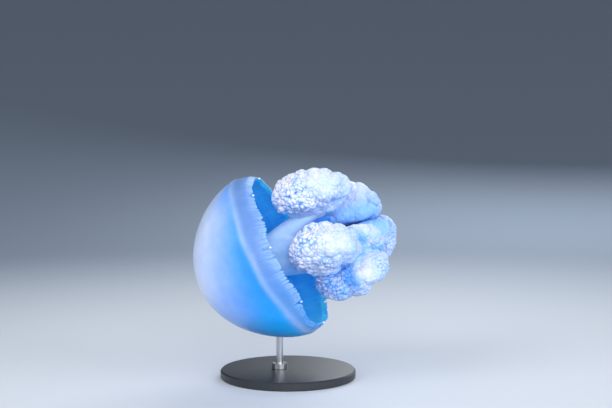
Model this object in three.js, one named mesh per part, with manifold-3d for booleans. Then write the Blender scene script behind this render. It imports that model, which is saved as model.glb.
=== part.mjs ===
// A blubber jellyfish (Catostylus), life size, swimming bell first and slightly downhill,
// held over a flat base by one rod. Millimetres, +Z up, origin at the centre of the base's underside.
//
// The animal is worked out in its own bell frame and then placed in the part's frame:
//   height   along the bell's axis, 0 at the margin and positive towards the crown
//   radius   out from that axis
//   azimuth  round it: 0 on the lowest flank, a quarter turn on the flank that faces -Y
import * as THREE from "three";
import { mergeVertices } from "three/addons/utils/BufferGeometryUtils.js";
import Module from "manifold-3d";

const wasm = await Module();
wasm.setup();

const degrees = THREE.MathUtils.degToRad;
const { lerp, clamp, euclideanModulo, radToDeg } = THREE.MathUtils;
const round = 2 * Math.PI; // a full turn

// ---------- driving dimensions ----------

// The bell's outside and its hollow, each a blunt dome over a margin that draws in a little.
const outside = { widest: 100, margin: 94, widestHeight: 24, top: 117.5, across: 2.08, along: 1.54 };
const hollow = { widest: 92, margin: 91.6, widestHeight: 14, top: 86, across: 2.1, along: 1.6 };
const marginSlant = 0.11; // the margin leans this much towards the low flank

const gap = 0.35; // between pieces that meet
const octants = 8;
const octantStart = degrees(8); // azimuth of the first octant's first edge
const segmentsPerOctant = 4;
const foldLevel = 0.28; // where the swimming margin starts, as a share of the bell's height
const domeLevel = 0.62; // where the thick crown starts
const ridgeHeight = 1.2; // the coronal ridge stands this proud, just above the margin band

const lappetsPerOctant = 8; // each stands for a pair of fine lappets
const lappet = { length: 3.4, thickness: 1.4 };
// Where the margin is drawn up towards the crown, or down: centre and half width in degrees, and how far.
const marginBumps = [
  { centre: 118, width: 12, amount: -4.5 },
  { centre: 62, width: 12, amount: -4 },
  { centre: 32, width: 17, amount: 7 },
];
const senseOrgan = { radius: 1.4, drop: 0.8 }; // beads that hang in the clefts between octants

// The mouth disc hangs in the hollow on four pillars.
const disc = { radius: 25, low: 14, high: 34, corner: 5, swell: 0.05 };
const pillar = { count: 4, distance: 19, halfWidth: 9, halfDepth: 5, flare: 0.5, sides: 8, steps: 4 };

// Each arm grows from the disc as a smooth upper part, and carries a club of frills on its outer side.
// root: where it leaves the disc, in degrees round the bell.
// near, far: the two ends of the club, as height, radius and degrees round the bell.
// girth: the club's half thickness towards its near end and towards its far end.
// bow: how far the club's middle bulges outwards.
// taper: how much thinner the club is at its near end, as a share of its girth.
const arms = [
  { root: 157.5, near: [-6, 58, 162], far: [-93, 46, 163], girth: [31, 20], bow: 5, taper: 0.15 },
  { root: 112.5, near: [-10, 46, 88], far: [-86, 45, 69], girth: [32, 24], bow: 5, taper: 0.3 },
  { root: 67.5, near: [-44, 30, 62], far: [-109, 22, 49], girth: [20, 20], bow: 3 },
  { root: 22.5, near: [-24, 55, 30], far: [-104, 44, 30], girth: [25, 24], bow: 5 },
  { root: 337.5, near: [-42, 36, 320], far: [-118, 30, 296], girth: [22, 24], bow: 4 },
  { root: 292.5, near: [-12, 56, 288], far: [-92, 42, 284], girth: [26, 21], bow: 5 },
  { root: 247.5, near: [-8, 58, 248], far: [-90, 45, 248], girth: [27, 21], bow: 5 },
  { root: 202.5, near: [-26, 56, 208], far: [-113, 25, 240], girth: [22, 19], bow: 4 },
];
const club = { rings: 12, sides: 10, wing: 0.08, scallops: 4, scallopDepth: 0.05 };

// A smooth upper arm: how far from the axis it leaves the disc and bends, and its half thickness.
// It ends at a share of its club's length, sunk in the club's inner edge.
const upperArm = { rootRadius: 15, bendRadius: 22, thick: 8, thin: 6, end: 0.75, steps: 6, sides: 6 };

// Where the bell hangs over the base, and which way it swims.
const marginCentre = new THREE.Vector3(4, -3, 152);
const crownDown = degrees(20); // below level, in the plane that faces -Y
const crownAway = degrees(10.5); // away from -Y
const viewDown = degrees(4); // the two angles are read from this far above level

const base = { radius: 80, thickness: 10, bevel: 1.5, sides: 72 };
const rod = { radius: 4, x: -10, y: 2, intoBase: 6, intoBell: 11, sides: 20 };
const collar = { radius: 9, height: 6 };

// ---------- the bell's frame ----------

const sight = new THREE.Vector3(0, Math.cos(viewDown), -Math.sin(viewDown));
const sightUp = new THREE.Vector3(0, Math.sin(viewDown), Math.cos(viewDown));
const toCrown = new THREE.Vector3(-Math.cos(crownDown) * Math.cos(crownAway), 0, 0)
  .addScaledVector(sightUp, -Math.sin(crownDown) * Math.cos(crownAway))
  .addScaledVector(sight, Math.sin(crownAway));
const toLowFlank = sightUp.clone().multiplyScalar(-Math.cos(crownDown));
toLowFlank.x += Math.sin(crownDown);
const toNearFlank = new THREE.Vector3().crossVectors(toCrown, toLowFlank);

// A point of the bell frame, given by height, radius and azimuth, in the part's frame.
function place(height, radius, azimuth) {
  return marginCentre
    .clone()
    .addScaledVector(toCrown, height)
    .addScaledVector(toLowFlank, radius * Math.cos(azimuth))
    .addScaledVector(toNearFlank, radius * Math.sin(azimuth));
}

// ---------- solids ----------

// A solid whose two faces are given as functions of u and v, both from 0 to 1, joined round their edges.
// With wrap, u goes all the way round.
function sheetSolid(stepsU, stepsV, front, back, wrap = false) {
  const corners = [];
  const quad = (a, b, c, d) => corners.push(a, b, c, a, c, d);
  const columns = wrap ? stepsU : stepsU + 1;
  const grid = (face) =>
    Array.from({ length: columns }, (_, i) =>
      Array.from({ length: stepsV + 1 }, (_, j) => face(i / stepsU, j / stepsV)),
    );
  const [f, b] = [grid(front), grid(back)];
  for (let i = 0; i < stepsU; i++) {
    const k = (i + 1) % columns;
    for (let j = 0; j < stepsV; j++) {
      quad(f[i][j], f[k][j], f[k][j + 1], f[i][j + 1]);
      quad(b[k][j], b[i][j], b[i][j + 1], b[k][j + 1]);
    }
    quad(b[i][0], b[k][0], f[k][0], f[i][0]);
    quad(f[i][stepsV], f[k][stepsV], b[k][stepsV], b[i][stepsV]);
  }
  for (let j = 0; !wrap && j < stepsV; j++) {
    quad(b[0][j], f[0][j], f[0][j + 1], b[0][j + 1]);
    quad(f[stepsU][j], b[stepsU][j], b[stepsU][j + 1], f[stepsU][j + 1]);
  }
  return solidOf(new THREE.BufferGeometry().setFromPoints(corners));
}

// A solid that is one skin round a spine: point(u, v) with u round it, and v from one pole to the other.
function skinSolid(sides, rings, point) {
  const corners = [];
  const at = (i, j) => point((i % sides) / sides, j / rings);
  for (let i = 0; i < sides; i++) {
    for (let j = 0; j < rings; j++) {
      const [a, b, c, d] = [at(i, j), at(i + 1, j), at(i + 1, j + 1), at(i, j + 1)];
      corners.push(a, b, c, a, c, d);
    }
  }
  return solidOf(new THREE.BufferGeometry().setFromPoints(corners));
}

// A geometry as a manifold-3d solid, facing out, without the triangles that shrink to nothing at a pole.
function solidOf(geometry) {
  const bare = geometry.clone();
  bare.deleteAttribute("normal");
  bare.deleteAttribute("uv");
  const merged = mergeVertices(bare, 1e-3);
  const index = merged.index.array;
  const kept = [];
  for (let i = 0; i < index.length; i += 3) {
    const [a, b, c] = index.slice(i, i + 3);
    if (a !== b && b !== c && c !== a) kept.push(a, b, c);
  }
  const vertProperties = new Float32Array(merged.attributes.position.array);
  const build = (corners) => {
    const mesh = new wasm.Mesh({ numProp: 3, vertProperties, triVerts: new Uint32Array(corners) });
    return new wasm.Manifold(mesh);
  };
  const solid = build(kept);
  return solid.volume() > 0 ? solid : build(kept.reverse());
}

function geometryOf(solid) {
  const mesh = solid.getMesh();
  const positions = new Float32Array(mesh.numVert * 3);
  for (let i = 0; i < mesh.numVert; i++) {
    positions.set(mesh.vertProperties.subarray(i * mesh.numProp, i * mesh.numProp + 3), i * 3);
  }
  return new THREE.BufferGeometry()
    .setAttribute("position", new THREE.BufferAttribute(positions, 3))
    .setIndex(new THREE.BufferAttribute(new Uint32Array(mesh.triVerts), 1));
}

// The largest body of a solid: what a cut leaves beside it as slivers is dropped.
function mainBody(solid) {
  return solid.decompose().sort((a, b) => b.volume() - a.volume())[0];
}

function cutBy(solid, cutters) {
  return mainBody(cutters.reduce((left, cutter) => left.subtract(cutter), solid));
}

// ---------- materials ----------

function finish(color, roughness, metalness = 0) {
  return new THREE.MeshStandardMaterial({ color, roughness, metalness });
}
const crownJelly = finish(0x8fbcf4, 0.25);
const marginJelly = finish(0xa9c8f6, 0.3);
const organJelly = finish(0xe4efff, 0.4);
const mouthJelly = finish(0x86b8f2, 0.3);
const frillFlesh = finish(0xdbe7fb, 0.55);
const basePaint = finish(0x23262b, 0.45, 0.1);
const rodSteel = finish(0xb9bcc0, 0.35, 1);

const jellyfish = new THREE.Group();

function add(name, solid, material) {
  const mesh = new THREE.Mesh(geometryOf(solid), material);
  mesh.name = name;
  jellyfish.add(mesh);
}

// ---------- the bell ----------

// The dome's radius at a height: a superellipse above its widest ring, drawn in below it.
function domeRadius(dome, height) {
  if (height < dome.widestHeight) {
    const below = (dome.widestHeight - height) / dome.widestHeight;
    return dome.widest - (dome.widest - dome.margin) * below ** 2;
  }
  const above = clamp((height - dome.widestHeight) / (dome.top - dome.widestHeight), 0, 1);
  return dome.widest * (1 - above ** dome.along) ** (1 / dome.across);
}

// A point on a dome at a level from 0, the margin, to 1, its top.
function onDome(dome, level, azimuth, proud = 0) {
  const height = dome.top * level;
  const radius = level >= 1 ? 0 : domeRadius(dome, height) + proud;
  return place(height - marginSlant * radius * Math.cos(azimuth) * (1 - level), radius, azimuth);
}

const ridgeAt = (level) => ridgeHeight * Math.exp(-(((level - foldLevel) / 0.05) ** 2));
const outer = (level, azimuth) => onDome(outside, level, azimuth, ridgeAt(level));
const inner = (level, azimuth) => onDome(hollow, level, azimuth);

const octantAngle = round / octants;
const splitAngle = gap / domeRadius(outside, outside.top * domeLevel); // a gap wide at the walls' top edge
const splitLevel = gap / hollow.top;

// Azimuth of an octant's first edge, and azimuth inside one octant, u from 0 to 1.
const octantEdge = (n) => octantStart + n * octantAngle;
const octantAzimuth = (n, u) => octantEdge(n) + lerp(splitAngle / 2, octantAngle - splitAngle / 2, u);

// A dome narrows fast near its top, so levels are bunched there.
const crownLevel = (v) => lerp(domeLevel, 1, Math.sin((v * Math.PI) / 2));
const crown = sheetSolid(
  octants * segmentsPerOctant,
  6,
  (u, v) => outer(crownLevel(v), u * round),
  (u, v) => inner(crownLevel(v), u * round),
  true,
);

const wallLow = foldLevel + splitLevel;
const wallHigh = domeLevel - splitLevel;
const walls = Array.from({ length: octants }, (_, n) =>
  sheetSolid(
    segmentsPerOctant,
    4,
    (u, v) => outer(lerp(wallLow, wallHigh, v), octantAzimuth(n, u)),
    (u, v) => inner(lerp(wallLow, wallHigh, v), octantAzimuth(n, u)),
  ),
);

// A point of the lappets' middle layer, by its height over their tips.
const edgeRadius = (outside.margin + hollow.margin) / 2;
function onEdge(height, azimuth, proud = 0) {
  return place(height - marginSlant * edgeRadius * Math.cos(azimuth), edgeRadius + proud, azimuth);
}

// How far the margin is drawn towards the crown at an azimuth: a sum of bell curves.
function marginWave(azimuth) {
  return marginBumps.reduce((total, { centre, width, amount }) => {
    const away = euclideanModulo(radToDeg(azimuth) - centre + 180, 360) - 180;
    return total + amount * Math.exp(-((away / width) ** 2));
  }, 0);
}

// A margin octant ends in lappets: a zigzag row of tips and clefts below the rows of the dome.
const marginRows = 3;
const cleftLevel = lappet.length / outside.top;
function marginSolid(n) {
  const face = (side) => (u, v) => {
    const azimuth = octantAzimuth(n, u);
    const row = Math.round(v * marginRows);
    const share = (row - 1) / (marginRows - 1);
    const drawn = marginWave(azimuth);
    if (row > 0) {
      return side(lerp(cleftLevel, foldLevel, share), azimuth).addScaledVector(toCrown, drawn * (1 - share));
    }
    const isTip = Math.round(u * lappetsPerOctant * 2) % 2 === 1;
    const proud = (side === outer ? 0.5 : -0.5) * lappet.thickness;
    return onEdge(drawn + (isTip ? 0 : lappet.length - gap), azimuth, proud);
  };
  return sheetSolid(lappetsPerOctant * 2, marginRows, face(outer), face(inner));
}

// ---------- the mouth disc and its pillars ----------

// A thick round plate whose edge swells once for each arm.
function discSolid(grow = 0) {
  const profile = [
    [0, disc.low - grow],
    [disc.radius - disc.corner, disc.low - grow],
    [disc.radius + grow, disc.low + disc.corner],
    [disc.radius + grow, disc.high - disc.corner],
    [disc.radius - disc.corner, disc.high + grow],
    [0, disc.high + grow],
  ];
  return skinSolid(octants * 3, profile.length - 1, (u, v) => {
    const [radius, height] = profile[Math.round(v * (profile.length - 1))];
    return place(height, radius * (1 - disc.swell * Math.cos(octants * u * round)), u * round);
  });
}

// The height of the hollow's roof at a radius.
function roofHeight(radius) {
  const rise = (1 - (radius / hollow.widest) ** hollow.across) ** (1 / hollow.along);
  return lerp(hollow.widestHeight, hollow.top, rise);
}

// A pillar is an oval column from the disc to the roof, flared at both ends.
function pillarSolid(n) {
  const azimuth = (n + 0.5) * (round / pillar.count);
  const rows = pillar.steps + 2;
  return skinSolid(pillar.sides, rows, (u, v) => {
    const row = Math.round(v * rows);
    const share = clamp((row - 1) / pillar.steps, 0, 1);
    const size = row === 0 || row === rows ? 0 : 1 + pillar.flare * (2 * share - 1) ** 2;
    const out = pillar.distance + pillar.halfDepth * size * Math.cos(u * round);
    const aside = pillar.halfWidth * size * Math.sin(u * round);
    const radius = Math.hypot(out, aside);
    const height = lerp(disc.high + gap, roofHeight(radius) - 2 * gap, share);
    return place(height, radius, azimuth + Math.atan2(aside, out));
  });
}

// ---------- the arms ----------

// A club's spine at a share from its near end, 0, to its far end, 1, with the directions round it.
function clubFrame(arm, share) {
  const at = (s) => {
    const [height, radius, azimuth] = arm.near.map((from, k) => lerp(from, arm.far[k], s));
    return place(height, radius + 4 * s * (1 - s) * arm.bow, degrees(azimuth));
  };
  const step = 0.01;
  const azimuth = degrees(lerp(arm.near[2], arm.far[2], share));
  const along = at(share + step).sub(at(share - step)).normalize();
  const outward = place(0, 1, azimuth).sub(marginCentre);
  const out = outward.addScaledVector(along, -outward.dot(along)).normalize();
  return { centre: at(share), along, out, aside: new THREE.Vector3().crossVectors(along, out) };
}

// The club is round-ended and three-winged: one edge towards the axis, and two that flank a furrow outside.
function clubSolid(arm, grow = 0) {
  return skinSolid(club.sides, club.rings, (u, v) => {
    const share = (1 - Math.cos(v * Math.PI)) / 2;
    const { centre, aside, out, along } = clubFrame(arm, share);
    const turn = u * round;
    const fromMiddle = Math.min(1, Math.abs(2 * share - 1));
    const blunt = (1 - fromMiddle ** 2.4) ** (1 / 2.1);
    const winged = 1 - club.wing * Math.cos(3 * turn);
    const scalloped = 1 + club.scallopDepth * Math.cos(share * club.scallops * round) * Math.cos(turn * 5);
    const girth = lerp(...arm.girth, share) * (1 - (arm.taper ?? 0) * (1 - share) ** 3);
    const radius = girth * blunt * winged * scalloped + (blunt > 0 ? grow : 0);
    const end = blunt > 0 ? 0 : Math.sign(share - 0.5) * grow;
    return centre
      .addScaledVector(out, Math.cos(turn) * radius)
      .addScaledVector(aside, Math.sin(turn) * radius)
      .addScaledVector(along, end);
  });
}

// The smooth upper arm runs from the disc down the inner side of its club.
function upperArmSolid(arm, grow = 0) {
  const start = place(disc.low + 2, upperArm.rootRadius, degrees(arm.root));
  const bend = place(arm.near[0], upperArm.bendRadius, degrees(arm.near[2]));
  const { centre, out: outward, aside } = clubFrame(arm, upperArm.end);
  const end = centre.addScaledVector(outward, -0.85 * lerp(...arm.girth, upperArm.end));
  const spine = new THREE.QuadraticBezierCurve3(start, bend, end);
  const rows = upperArm.steps + 2;
  return skinSolid(upperArm.sides, rows, (u, v) => {
    const row = Math.round(v * rows);
    const share = clamp((row - 1) / upperArm.steps, 0, 1);
    const along = spine.getTangent(share);
    const out = new THREE.Vector3().crossVectors(aside, along).normalize();
    const across = new THREE.Vector3().crossVectors(along, out);
    const radius = row === 0 || row === rows ? 0 : lerp(upperArm.thick, upperArm.thin, share) + grow;
    return spine
      .getPoint(share)
      .addScaledVector(out, Math.cos(u * round) * radius)
      .addScaledVector(across, Math.sin(u * round) * radius)
      .addScaledVector(along, row === rows ? upperArm.thin / 2 + grow : 0);
  });
}

// ---------- the stand ----------

function baseSolid() {
  const { radius, thickness, bevel } = base;
  const profile = [
    [0, 0],
    [radius - bevel, 0],
    [radius, bevel],
    [radius, thickness - bevel],
    [radius - bevel, thickness],
    [0, thickness],
  ].map(([x, y]) => new THREE.Vector2(x, y));
  return solidOf(new THREE.LatheGeometry(profile, base.sides).rotateX(Math.PI / 2));
}

// An upright cylinder over the rod's place on the base, from one level to another.
function uprightAtRod(radius, low, high) {
  const shape = new THREE.CylinderGeometry(radius, radius, high - low, rod.sides);
  return solidOf(shape.rotateX(Math.PI / 2).translate(rod.x, rod.y, (low + high) / 2));
}

// The level of the bell's underside over the rod, found by walking up until the outside is reached.
function undersideOverRod() {
  const step = 0.25;
  for (let z = base.thickness; z < marginCentre.z; z += step) {
    const from = new THREE.Vector3(rod.x, rod.y, z).sub(marginCentre);
    const height = from.dot(toCrown);
    const radius = Math.hypot(from.dot(toNearFlank), from.dot(toLowFlank));
    if (height < outside.top && radius < domeRadius(outside, height)) return z;
  }
  throw new Error("the rod misses the bell");
}

// ---------- assembly ----------

const rodTop = undersideOverRod() + rod.intoBell;
const rodSocket = uprightAtRod(rod.radius + gap, base.thickness - rod.intoBase - gap, rodTop + gap);

add("bell_dome", cutBy(crown, [rodSocket]), crownJelly);
walls.forEach((wall, n) => add(`bell_wall_${n + 1}`, cutBy(wall, [rodSocket]), crownJelly));
for (let n = 0; n < octants; n++) add(`bell_margin_${n + 1}`, marginSolid(n), marginJelly);
for (let n = 0; n < octants; n++) {
  const bead = new THREE.IcosahedronGeometry(senseOrgan.radius);
  bead.translate(...onEdge(marginWave(octantEdge(n)) - senseOrgan.drop, octantEdge(n)));
  add(`sense_organ_${n + 1}`, solidOf(bead), organJelly);
}

add("mouth_disc", discSolid(), mouthJelly);
for (let n = 0; n < pillar.count; n++) add(`mouth_pillar_${n + 1}`, pillarSolid(n), mouthJelly);

// Every arm piece is cut back by what is placed before it, grown by the gap.
const cutters = [discSolid(gap)];
const uppers = arms.map((arm) => {
  const upper = cutBy(upperArmSolid(arm), cutters);
  cutters.push(upperArmSolid(arm, gap));
  return upper;
});
arms.forEach((arm, n) => {
  const frill = cutBy(clubSolid(arm), cutters);
  cutters.push(clubSolid(arm, gap));
  add(`arm_${n + 1}_upper`, uppers[n], mouthJelly);
  add(`arm_${n + 1}_frill`, frill, frillFlesh);
});

add("stand_base", baseSolid().subtract(rodSocket), basePaint);
add("stand_rod", uprightAtRod(rod.radius, base.thickness - rod.intoBase, rodTop), rodSteel);
const collarLow = base.thickness + gap;
const ring = uprightAtRod(collar.radius, collarLow, collarLow + collar.height).subtract(rodSocket);
add("stand_collar", ring, rodSteel);

export default jellyfish;
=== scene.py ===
# %% [markdown]
# # A blubber jellyfish on a display stand
#
# A blubber jellyfish is a thick dome of jelly that ends in a thin, lobed margin. Under the dome a mouth
# disc hangs on four pillars, and eight stout arms grow from it, each one carrying a club of frills as
# crowded as a cauliflower. This lesson makes the skin of the jelly, the eight clubs and the sense organs,
# and gives the stand its paint and steel.
#
# Every surface is worked out with numpy in millimetres and written into a mesh in metres.

# %% Load the frame
import itertools

import bpy
import numpy as np
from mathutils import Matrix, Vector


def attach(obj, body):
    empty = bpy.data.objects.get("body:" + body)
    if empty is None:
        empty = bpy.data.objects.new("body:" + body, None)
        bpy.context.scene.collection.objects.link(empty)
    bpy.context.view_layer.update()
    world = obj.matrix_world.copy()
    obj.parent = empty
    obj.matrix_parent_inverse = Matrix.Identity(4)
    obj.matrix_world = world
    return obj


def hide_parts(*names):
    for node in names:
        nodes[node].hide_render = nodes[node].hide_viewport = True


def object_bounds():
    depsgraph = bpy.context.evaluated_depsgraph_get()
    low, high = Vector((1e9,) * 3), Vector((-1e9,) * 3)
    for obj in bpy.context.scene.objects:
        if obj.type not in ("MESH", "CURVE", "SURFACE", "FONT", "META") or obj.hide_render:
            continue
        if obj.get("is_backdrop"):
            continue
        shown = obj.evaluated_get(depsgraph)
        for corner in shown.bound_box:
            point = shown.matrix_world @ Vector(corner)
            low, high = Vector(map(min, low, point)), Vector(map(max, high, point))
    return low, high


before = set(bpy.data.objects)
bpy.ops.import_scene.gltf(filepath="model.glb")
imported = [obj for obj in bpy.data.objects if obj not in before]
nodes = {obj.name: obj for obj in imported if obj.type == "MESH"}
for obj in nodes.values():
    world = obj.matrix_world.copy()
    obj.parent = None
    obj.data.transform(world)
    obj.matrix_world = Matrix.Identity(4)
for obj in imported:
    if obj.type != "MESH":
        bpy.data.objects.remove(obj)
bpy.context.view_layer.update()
MM = 0.001
TURN = 2 * np.pi

# %% [markdown]
# ## The bell's own frame
#
# The animal swims bell first and slightly downhill, so nothing on it lines up with the world's axes. Each
# surface could be modelled upright and turned afterwards, but a finished piece keeps its object unturned.
# So a point is given by its height over the margin, its radius from the bell's axis and its azimuth
# round it, and one function places it.

# %% The bell's frame
MARGIN_CENTRE = np.array([4.0, -3.0, 152.0])
CROWN_DOWN, CROWN_AWAY, VIEW_DOWN = np.radians([20.0, 10.5, 4.0])

sight = np.array([0, np.cos(VIEW_DOWN), -np.sin(VIEW_DOWN)])
sight_up = np.array([0, np.sin(VIEW_DOWN), np.cos(VIEW_DOWN)])
to_crown = (
    np.array([-np.cos(CROWN_DOWN) * np.cos(CROWN_AWAY), 0, 0])
    - sight_up * np.sin(CROWN_DOWN) * np.cos(CROWN_AWAY)
    + sight * np.sin(CROWN_AWAY)
)
to_low = np.array([np.sin(CROWN_DOWN), 0, 0]) - sight_up * np.cos(CROWN_DOWN)
to_near = np.cross(to_crown, to_low)


def place(height, radius, azimuth):
    """The margin's centre + height along the axis + radius * (cos azimuth towards the low flank
    + sin azimuth towards the near flank). The three may be numbers or arrays of one shape."""
    height, radius, azimuth = np.broadcast_arrays(height, radius, azimuth)
    aside = (radius * np.cos(azimuth))[..., None]
    nearer = (radius * np.sin(azimuth))[..., None]
    return MARGIN_CENTRE + height[..., None] * to_crown + aside * to_low + nearer * to_near


def bell_frame(points):
    """The other way round: height, radius and azimuth of points."""
    away = points - MARGIN_CENTRE
    aside, nearer = away @ to_low, away @ to_near
    return away @ to_crown, np.hypot(aside, nearer), np.arctan2(nearer, aside)


# %% [markdown]
# ## The camera
#
# The camera looks at the animal's near flank from a little above, through a long lens, as a visitor does.

# %% Camera
AIM = np.array([21.2, 0.7, 205.6]) * MM
DISTANCE = 1.4


def add_object(name, data):
    """A new object in the scene that holds data."""
    made = bpy.data.objects.new(name, data)
    bpy.context.scene.collection.objects.link(made)
    return made


camera = add_object("camera", bpy.data.cameras.new("camera"))
camera.data.lens, camera.data.sensor_width = 70, 36
camera.location = AIM - sight * DISTANCE
camera.rotation_euler = (np.pi / 2 - VIEW_DOWN, 0, 0)
bpy.context.scene.camera = camera

# %% [markdown]
# ## Helpers: repeatable randomness
#
# Flesh is never regular. Blender's displace textures could roughen it, but numpy gives full control and
# the same result on each run. Space is cut into cubes, each cube's whole-number address is hashed into
# random numbers, and everything else follows: soft noise from the cubes' corners, and crowded bulbs from
# one seed point in each cube.

# %% Random numbers for cubes of space
PRIMES = np.array([73856093, 19349663, 83492791], np.int64)
MIX, ADD = np.uint64(6364136223846793005), np.uint64(1442695040888963407)
SEED_STEP, STIR, UPPER_HALF = 2654435761, np.uint64(29), np.uint64(33)


def cube_numbers(cubes, seed, count):
    """count random numbers from 0 to 1 for each cube address: the address times three primes, joined by
    exclusive-or with the seed, then multiplied and added to, and the upper half kept."""
    parts = cubes * PRIMES
    state = (parts[..., 0] ^ parts[..., 1] ^ parts[..., 2] ^ (seed * SEED_STEP)).astype(np.uint64)
    numbers = []
    for _ in range(count + 1):
        state = state * MIX + ADD
        state = state ^ (state >> STIR)
        numbers.append((state >> UPPER_HALF).astype(float) / 2**31)
    return np.stack(numbers[1:], -1)


def soft_noise(points, size, seed):
    """Smooth noise from -1 to 1: the random numbers of a cube's eight corners, blended with
    t * t * (3 - 2 t) along each side. size is the cube's side in millimetres."""
    where = points / size
    home = np.floor(where).astype(np.int64)
    share = where - home
    share = share * share * (3 - 2 * share)
    total = np.zeros(points.shape[:-1])
    for corner in itertools.product((0, 1), repeat=3):
        weight = np.prod(np.where(corner, share, 1 - share), -1)
        total += weight * cube_numbers(home + corner, seed, 1)[..., 0]
    return total * 2 - 1


def crowded_seeds(points, size, seed):
    """One seed point lies at a random place in each cube. For each given point: the vector from its
    nearest seed, that distance, and the distance of the next nearest one, all in millimetres."""
    where = points / size
    home = np.floor(where).astype(np.int64)
    nearest = np.full(points.shape[:-1], np.inf)
    second = nearest.copy()
    vector = np.zeros(points.shape)
    for step in itertools.product((-1, 0, 1), repeat=3):
        cube = home + step
        away = where - cube - cube_numbers(cube, seed, 3)
        distance = np.sqrt((away**2).sum(-1))
        closer = distance < nearest
        second = np.where(closer, nearest, np.minimum(second, distance))
        nearest = np.where(closer, distance, nearest)
        vector = np.where(closer[..., None], away, vector)
    return vector * size, nearest * size, second * size


def smooth_step(low, high, value):
    """0 below low, 1 above high, and t * t * (3 - 2 t) between them."""
    share = np.clip((value - low) / (high - low), 0, 1)
    return share * share * (3 - 2 * share)


# %% [markdown]
# ## Helpers: from rings of points to a mesh
#
# Each surface here is a stack of closed rings between two poles. Most neighbours have the same number of
# points and are joined by four-sided faces. Where one ring has several times as many points as the next,
# as at the finely lobed margin, a face takes several of the finer ring's edges, so no triangles are
# wasted on the plain dome.

# %% Rings to faces


def stack_faces(counts):
    """Joins ring after ring. Returns the corners' point numbers, how many corners each face has, and
    each corner's share of a turn and its ring, for a UV map."""
    first = np.concatenate([[0], np.cumsum(counts)])
    corners, sizes, shares, rings = [], [], [], []
    for ring, (upper, lower) in enumerate(zip(counts, counts[1:])):
        faces = max(upper, lower) if 1 in (upper, lower) else min(upper, lower)
        face = np.arange(faces)[:, None]
        columns = []
        for side, (count, number) in enumerate([(upper, ring), (lower, ring + 1)]):
            edges = 0 if count == 1 else count // faces
            steps = np.arange(edges + 1)[None, ::-1 if side else 1]
            at = face * edges + steps
            share = (face + 0.5) / faces + 0 * steps if count == 1 else at / count
            columns.append((first[number] + at % count, share, np.full(at.shape, number)))
        corner, share, level = (np.concatenate(pair, 1) for pair in zip(*columns))
        corners.append(corner.ravel())
        sizes.append(np.full(faces, corner.shape[1]))
        shares.append(share.ravel())
        rings.append(level.ravel())
    return tuple(np.concatenate(part) for part in (corners, sizes, shares, rings))


def signed_volume(points, corners, sizes):
    """Six times the volume inside, as the sum over each face's fan of triangles of a . (b x c)."""
    starts = np.concatenate([[0], np.cumsum(sizes)[:-1]])
    face = np.repeat(np.arange(len(sizes)), sizes)
    place_in_face = np.arange(len(corners)) - starts[face]
    inner = (place_in_face > 0) & (place_in_face < sizes[face] - 1)
    a = points[corners[starts[face[inner]]]]
    b = points[corners[inner]]
    c = points[corners[np.flatnonzero(inner) + 1]]
    return (a * np.cross(b, c)).sum()


def new_mesh(name, points, corners, sizes):
    """A smooth-shaded mesh from points in millimetres and faces given as corners and sizes. If the
    faces look inwards, every face's corners are taken the other way round."""
    starts = np.concatenate([[0], np.cumsum(sizes)[:-1]])
    turned = signed_volume(points, corners, sizes) < 0
    if turned:
        face = np.repeat(np.arange(len(sizes)), sizes)
        order = starts[face] + sizes[face] - 1 - (np.arange(len(corners)) - starts[face])
        corners = corners[order]
    mesh = bpy.data.meshes.new(name)
    mesh.vertices.add(len(points))
    mesh.vertices.foreach_set("co", (points * MM).astype(np.float32).ravel())
    mesh.loops.add(len(corners))
    mesh.loops.foreach_set("vertex_index", corners.astype(np.int32))
    mesh.polygons.add(len(sizes))
    mesh.polygons.foreach_set("loop_start", starts.astype(np.int32))
    mesh.update(calc_edges=True)
    mesh.shade_smooth()
    return mesh, (order if turned else None)


def joined(parts):
    """One mesh's points, corners and sizes from those of several parts."""
    starts = np.cumsum([0] + [len(points) for points, _, _ in parts])
    moved = [(points, corners + start, sizes) for (points, corners, sizes), start in zip(parts, starts)]
    return tuple(np.concatenate(column) for column in zip(*moved))


def paint(mesh, colours):
    """Writes one linear colour for each point as the colour attribute tint."""
    layer = mesh.color_attributes.new("tint", "FLOAT_COLOR", "POINT")
    with_alpha = np.concatenate([colours, np.ones((len(colours), 1))], 1)
    layer.data.foreach_set("color", with_alpha.astype(np.float32).ravel())


def add_piece(mesh, material, slot, *replaced):
    """Links a mesh as a piece that rides on the root body and stands for CAD nodes."""
    piece = add_object(mesh.name, mesh)
    mesh.materials.append(material)
    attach(piece, "root")
    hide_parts(*replaced)
    triangles = len(mesh.loops) - 2 * len(mesh.polygons)
    print(f"{mesh.name}: {len(mesh.vertices)} points, {triangles} triangles")


# %% [markdown]
# ## Helpers: colours and material nodes
#
# Every finish is built from the same few nodes: noise of a real size, a mix of two tones, a fine bump.
# One small function adds a node of any kind, so each finish reads as a list of its nodes.

# %% Colours and nodes


def linear(hex_colour):
    """An sRGB hex colour as three linear numbers: c / 12.92 where c is dark, else
    ((c + 0.055) / 1.055) to the power 2.4."""
    channels = np.array([int(hex_colour[k : k + 2], 16) for k in (0, 2, 4)]) / 255
    return np.where(channels <= 0.04045, channels / 12.92, ((channels + 0.055) / 1.055) ** 2.4)


def opaque(hex_colour):
    """The same colour with an alpha of 1, for a socket."""
    return (*linear(hex_colour), 1)


def mixed(first, second, share):
    """first where share is 0, second where it is 1. Either may be a hex colour or an array of colours."""
    first, second = (linear(c) if isinstance(c, str) else c for c in (first, second))
    share = np.asarray(share)[..., None]
    return first * (1 - share) + second * share


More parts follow.
